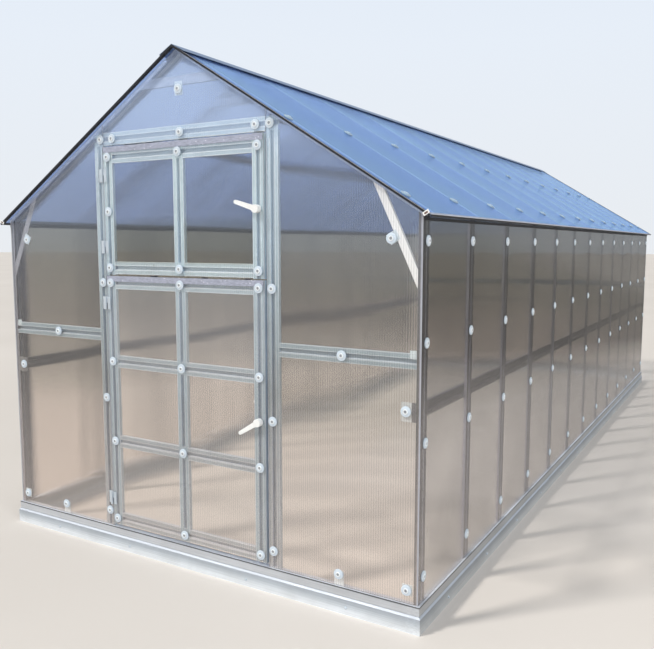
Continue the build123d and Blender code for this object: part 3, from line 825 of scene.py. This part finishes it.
# Nodes whose material differs from the rest of their slot; most are lit or shaded copies that paint light and
# shade
LOOKS = {
    "left_rafters": "inner_steel_shaded",
    "right_rafters": "inner_steel_shaded",
    "collar_ties": "inner_steel_shaded",
    "purlins": "inner_steel_shaded",
    "right_wall_posts": "side_steel_shaded",
    "right_wall_rail": "side_steel_shaded",
    "left_wall_posts": "left_steel_shaded",
    "left_wall_rail": "left_steel_shaded",
    "knee_braces": "brace_steel_lit",
    "rail_brackets": "bracket_steel",
    "left_wall_sheets": "polycarbonate_left_shaded",
    "front_left_sheet": "polycarbonate_ends",
    "front_right_sheet": "polycarbonate_ends",
    "front_gable_sheet": "polycarbonate_ends",
    "back_wall_sheets": "polycarbonate_ends",
    "lower_door_sheet": "polycarbonate_leaf",
    "upper_door_sheet": "polycarbonate_leaf",
}

slots = {row["node"]: row["material_slot"] for row in frame["record"]["subparts"]}
for node, piece in frame["nodes"].items():
    look = LOOKS.get(node, slots[node])
    piece.data.materials.clear()
    piece.data.materials.append(materials[look])
    if look.startswith("polycarbonate"):
        thin(piece, node)


# Rings of (radius, height) pairs turned about Z, closed over a radius of 0
def lathe(profile, segments):
    points, faces = [], []
    rings = []
    for radius, height in profile:
        first = len(points)
        if radius == 0:
            rings.append([first])
            points.append((0, 0, height))
            continue
        rings.append(list(range(first, first + segments)))
        for n in range(segments):
            angle = 2 * pi * n / segments
            points.append((radius * cos(angle), radius * sin(angle), height))
    for lower, upper in zip(rings, rings[1:]):
        for n in range(segments):
            m = (n + 1) % segments
            if len(upper) == 1:
                faces.append((lower[n], lower[m], upper[0]))
            else:
                faces.append((lower[n], lower[m], upper[m], upper[n]))
    return points, faces


# Upright block with its top edges chamfered, standing on Z = 0
def slab(width, length, height, chamfer):
    points, faces = [], []
    for inset, level in ((0, 0), (0, height - chamfer), (chamfer, height)):
        a, b = width / 2 - inset, length / 2 - inset
        points += [(-a, -b, level), (a, -b, level), (a, b, level), (-a, b, level)]
    for ring in (0, 4):
        for n in range(4):
            m = (n + 1) % 4
            faces.append((ring + n, ring + m, ring + m + 4, ring + n + 4))
    faces += [(3, 2, 1, 0), (8, 9, 10, 11)]
    return points, faces


# Place on a surface, with local Z along its outward direction
def stand(point, outward, turned=0.0):
    turn = Vector(outward).to_track_quat("Z", "Y").to_matrix().to_4x4()
    return Matrix.Translation(point) @ turn @ Matrix.Rotation(turned, 4, "Z")


# One piece made of shapes at their places
def joined(name, parts, body, look, smooth=None):
    points, faces = [], []
    for (corners, sides), place in parts:
        first = len(points)
        points += [place @ Vector(corner) for corner in corners]
        faces += [tuple(first + n for n in side) for side in sides]
    mesh = bpy.data.meshes.new(name)
    mesh.from_pydata(points, [], faces)
    mesh.materials.append(materials[look])
    piece = bpy.data.objects.new(name, mesh)
    scene.collection.objects.link(piece)
    if smooth is not None:
        mesh.shade_smooth()
        mesh.set_sharp_from_angle(angle=radians(smooth))
    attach(piece, body)


# One piece made of a shape repeated at each place
def stamped(name, shape, places, body, look, smooth=None):
    joined(name, [(shape, place) for place in places], body, look, smooth)


# Small turns that keep like pieces from looking copied
def spin(n):
    return (n * 2.399) % (2 * pi)


# Places for like pieces on one face, each with its own small turn
def placed(points, outward):
    return [stand(point, outward, spin(n)) for n, point in enumerate(points)]


def rows(xs, heights):
    return [(x, z) for z in heights for x in xs]


def both_sides(distance, *heights):
    return rows((-distance, distance), heights)


# Shapes of the washer: a ribbed flange, a boss with a recess, and the screw in it
FLANGE_PROFILE = [
    (0.0212, -0.0005),
    (0.0212, 0.0018),
    (0.0204, 0.0030),
    (0.0170, 0.0040),
    (0.0128, 0.0044),
    (0, 0.0030),
]
BOSS_PROFILE = [
    (0.0104, 0.0030),
    (0.0104, 0.0066),
    (0.0096, 0.0076),
    (0.0070, 0.0078),
    (0.0062, 0.0056),
    (0, 0.0056),
]
SCREW_PROFILE = [
    (0.0054, 0.0053),
    (0.0054, 0.0068),
    (0.0046, 0.0080),
    (0.0024, 0.0083),
    (0.0018, 0.0072),
    (0, 0.0072),
]
FLANGE_SEGMENTS = 28
RIBBED_FROM, RIBBED_TO = 0.0140, 0.0208
RIB_RISE = 0.0008


def washer_flange():
    points, faces = lathe(FLANGE_PROFILE, FLANGE_SEGMENTS)
    ribbed = []
    for n, (x, y, z) in enumerate(points):
        on_flange = RIBBED_FROM < hypot(x, y) < RIBBED_TO
        ribbed.append((x, y, z + (RIB_RISE if on_flange and n % 2 else 0)))
    return ribbed, faces


FLANGE = washer_flange()
BOSS = lathe(BOSS_PROFILE, 20)
SCREW = lathe(SCREW_PROFILE, 12)


# Washers with their screws, as three pieces on one body
def washers(name, places, body, tint=""):
    stamped(name + "_washers", FLANGE, places, body, tint + "washer_plastic", 25)
    stamped(name + "_bosses", BOSS, places, body, tint + "boss_plastic", 35)
    stamped(name + "_screws", SCREW, places, body, "screw_steel", 40)


# Side walls: four washers on each frame, moved inwards a little on the first and last ones
SIDE_ROWS = (1.507, 1.126, 0.742, 0.214)
END_FRAME_SHIFT = 0.012


def on_post(y):
    if y > NEAR_AN_END:
        return y - END_FRAME_SHIFT
    if y < -NEAR_AN_END:
        return y + END_FRAME_SHIFT
    return y


for side, label in ((1, "right_wall"), (-1, "left_wall")):
    points = [(side * WALL_X, on_post(y), z) for y in FRAMES for z in SIDE_ROWS]
    washers(label, placed(points, (side, 0, 0)), "house")

# Roof: washers over the purlins and above the eaves on each frame, by their distance down the slope
ROOF_ROWS = (0.65, 1.26)


def on_roof(side, y, distance):
    return side * distance * cos(PITCH), y, ROOF_TOP - distance * sin(PITCH)


for side, label in ((1, "right_roof"), (-1, "left_roof")):
    points = [on_roof(side, y, distance) for y in FRAMES for distance in ROOF_ROWS]
    washers(label, placed(points, (side * sin(PITCH), 0, cos(PITCH))), "house", "roof_")

# End walls: lintel, gable, jambs, rails, and the tabs behind the sheets
JAMB_X = 0.4895
FOOT_TAB_X = 0.809
GABLE_X = 0.004
END_SPOTS = [(x, LINTEL_Z) for x in (-0.480, -0.405, 0.008, 0.413, 0.485)] + [(GABLE_X, 2.164)]
END_SPOTS += both_sides(JAMB_X, 0.185, 0.752, 1.311) + both_sides(0.820, END_RAIL_Z)
END_SPOTS += both_sides(1.110, 0.163) + both_sides(FOOT_TAB_X, 0.158)
END_SPOTS += both_sides(1.099, 0.866) + both_sides(1.032, 1.516)
for end, label in ((-1, "front"), (1, "back")):
    points = [(x, end * -FRONT_Y, z) for x, z in END_SPOTS]
    washers(label, placed(points, (0, end, 0)), "house")

# Leaves: a washer where each rail meets a stile or the mullion, and one more at the upper hinge stile
upper_spots = rows(LEAF_COLUMNS, reversed(UPPER_LEAF_RAILS)) + [(LEAF_COLUMNS[0], 1.645)]
lower_spots = rows(LEAF_COLUMNS, reversed(LOWER_LEAF_RAILS))
for spots, body in ((upper_spots, "upper_leaf"), (lower_spots, "lower_leaf")):
    points = [(x, LEAF_Y, z) for x, z in spots]
    washers(body, placed(points, (0, -1, 0)), body)

# Tabs behind the end sheets, which the washers are screwed to
TAB_Y = -FRONT_INNER_Y - 0.0013
TAB_THICKNESS, TAB_CHAMFER = 0.0015, 0.0004
BRACE_LEAN = radians(59)


def tabs(name, width, length, spots, lean=0.0):
    places = []
    for end in (-1, 1):
        for x, z in spots:
            turned = end * lean * (1 if x > 0 else -1)
            places.append(stand((x, end * TAB_Y, z), (0, end, 0), turned))
    shape = slab(width, length, TAB_THICKNESS, TAB_CHAMFER)
    stamped(name, shape, places, "house", "tab_steel")


tabs("end_tabs", 0.044, 0.060, both_sides(FOOT_TAB_X, 0.140) + [(GABLE_X, 2.166)])
tabs("corner_tabs", 0.043, 0.045, both_sides(1.112, 0.163))
tabs("rail_tabs", 0.026, 0.032, both_sides(1.124, 1.083))
tabs("brace_tabs", 0.042, 0.046, both_sides(1.038, 1.520), BRACE_LEAN)

# Black strips on the side walls under the eave trims: a painted shadow under the roof's overhang
SHADOW_STRIP_DROP = 0.0065
shadow_strip = slab(2 * WALL_END_Y, 0.012, 0.0030, 0.0010)
shadow_strip_places = [stand((side * WALL_X, 0, EAVE_LOW.z - SHADOW_STRIP_DROP), (side, 0, 0)) for side in (-1, 1)]
stamped("eave_shadow_strips", shadow_strip, shadow_strip_places, "house", "shadow_strip_black")

# Fine ribs along the edges and the groove of the profiles that lie behind a sheet
RIB_OFFSETS = (-0.0277, -0.0118, 0.0118, 0.0277)
RIB_WIDTH, RIB_HEIGHT, RIB_CHAMFER = 0.0022, 0.0010, 0.0003
LEAF_RIB_DEPTH = 0.0066
LEAF_RIB_INSET = 0.001
END_RIB_GAP = 0.0006
POST_HEAD = 0.030


def ribs(name, uprights, rails, y, end, body):
    parts = []
    for offset in RIB_OFFSETS:
        for x, z_low, z_high in uprights:
            place = stand((x + offset, y, (z_low + z_high) / 2), (0, end, 0))
            parts.append((slab(RIB_WIDTH, z_high - z_low, RIB_HEIGHT, RIB_CHAMFER), place))
        for z, x_low, x_high in rails:
            place = stand(((x_low + x_high) / 2, y, z + offset), (0, end, 0))
            parts.append((slab(x_high - x_low, RIB_WIDTH, RIB_HEIGHT, RIB_CHAMFER), place))
    joined(name, parts, body, "rib_steel_highlight")


def leaf_ribs(name, node, rail_heights, body):
    low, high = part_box(node)
    stile = high.x - HALF_PROFILE
    inner = stile - HALF_PROFILE
    uprights = [(side * stile, low.z + LEAF_RIB_INSET, high.z - LEAF_RIB_INSET) for side in (-1, 1)]
    for below, above in zip(rail_heights, rail_heights[1:]):
        uprights.append((0.0, below + HALF_PROFILE, above - HALF_PROFILE))
    rails = [(z, x, x + inner - HALF_PROFILE) for z in rail_heights for x in (-inner, HALF_PROFILE)]
    ribs(name, uprights, rails, LEAF_Y + LEAF_RIB_DEPTH, -1, body)


def end_ribs(name, posts, beam, rail, end):
    low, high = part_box(posts)
    post_x = high.x - HALF_PROFILE
    inner, outer = post_x - HALF_PROFILE, post_x + HALF_PROFILE
    rail_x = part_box(rail)[1].x
    uprights = [(side * post_x, low.z, high.z - POST_HEAD) for side in (-1, 1)]
    rails = [(middle_z(beam), -inner, inner), (END_RAIL_Z, -rail_x, -outer), (END_RAIL_Z, outer, rail_x)]
    ribs(name, uprights, rails, end * (-FRONT_INNER_Y - END_RIB_GAP), end, "house")


leaf_ribs("lower_leaf_ribs", "lower_door_frame", LOWER_LEAF_RAILS, "lower_leaf")
leaf_ribs("upper_leaf_ribs", "upper_door_frame", UPPER_LEAF_RAILS, "upper_leaf")
end_ribs("front_ribs", "front_right_jamb", "door_lintel", "front_rails", -1)
end_ribs("back_ribs", "back_posts", "back_beam", "back_rails", 1)

# Folded clips over the lower ends of the front verge trims, with a dark end piece that is painted shade in
# their open ends
CLIP_INSET, CLIP_RISE = 0.0175, 0.0135
CLIP_FOLD = Matrix.Translation((0, -0.0005, 0.0010))
clip_places = []
for side in (-1, 1):
    corner = (side * (EAVE_HIGH.x - CLIP_INSET), VERGE_Y, EAVE_LOW.z + CLIP_RISE)
    clip_places.append(stand(corner, (0, -1, 0), side * PITCH))
clip_end_places = [place @ CLIP_FOLD for place in clip_places]
clip = slab(0.026, 0.0145, 0.0012, 0.0003)
clip_end = slab(0.015, 0.0070, 0.0004, 0.0001)
stamped("corner_clips", clip, clip_places, "house", "white_plastic")
stamped("corner_clip_ends", clip_end, clip_end_places, "house", "clip_shade")

# Tape over the upper edge of each leaf sheet, folded onto its face
TAPE_WIDTH, TAPE_THICKNESS, TAPE_CHAMFER = 0.026, 0.0005, 0.0002
TAPE_MARGIN, TAPE_DEPTH, TAPE_DROP = 0.004, 0.0003, 0.0135
for label in ("upper", "lower"):
    low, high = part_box(label + "_door_sheet")
    tape = slab(high.x - low.x - 2 * TAPE_MARGIN, TAPE_WIDTH, TAPE_THICKNESS, TAPE_CHAMFER)
    place = stand(((low.x + high.x) / 2, LEAF_Y + TAPE_DEPTH, high.z - TAPE_DROP), (0, -1, 0))
    stamped(label + "_leaf_tape", tape, [place], label + "_leaf", "foil_tape")

# Hexagonal screws in the outer face of the base, in each bay and in a row on the ends
HEX_PROFILE = [
    (0.0075, 0),
    (0.0075, 0.0006),
    (0.0050, 0.0008),
    (0.0050, 0.0042),
    (0.0042, 0.0048),
    (0, 0.0048),
]
BASE_SCREW_Z = 0.030
BASE_SCREW_XS = (-0.85, -0.35, 0.35, 0.85)
screws = []
for side in (-1, 1):
    screws += [((side * BASE_X, y + BAY / 2, BASE_SCREW_Z), (side, 0, 0)) for y in FRAMES[:-1]]
for end in (-1, 1):
    screws += [((x, end * -BASE_Y, BASE_SCREW_Z), (0, end, 0)) for x in BASE_SCREW_XS]
screw_places = [stand(point, outward, spin(n)) for n, (point, outward) in enumerate(screws)]
stamped("base_screws", lathe(HEX_PROFILE, 6), screw_places, "house", "hinge_metal")

# Joint plates on the side channels of the base
JOINT_PLATE_YS = (-1.125, 0.875)
JOINT_PLATE_Z = 0.033
plate = slab(0.056, 0.110, 0.0016, 0.0005)
plate_places = []
for side in (-1, 1):
    for y in JOINT_PLATE_YS:
        plate_places.append(stand((side * BASE_X, y, JOINT_PLATE_Z), (side, 0, 0), pi / 2))
stamped("base_joint_plates", plate, plate_places, "house", "base_metal")

# The moulded levers get rounded edges
for name in ("upper_handle", "lower_handle"):
    piece = frame["nodes"][name]
    bevel = piece.modifiers.new("rounding", "BEVEL")
    bevel.width = 0.003
    bevel.segments = 4
    bevel.limit_method = "ANGLE"
    bevel.angle_limit = radians(40)
    piece.data.shade_smooth()
    piece.data.set_sharp_from_angle(angle=radians(35))

low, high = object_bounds()
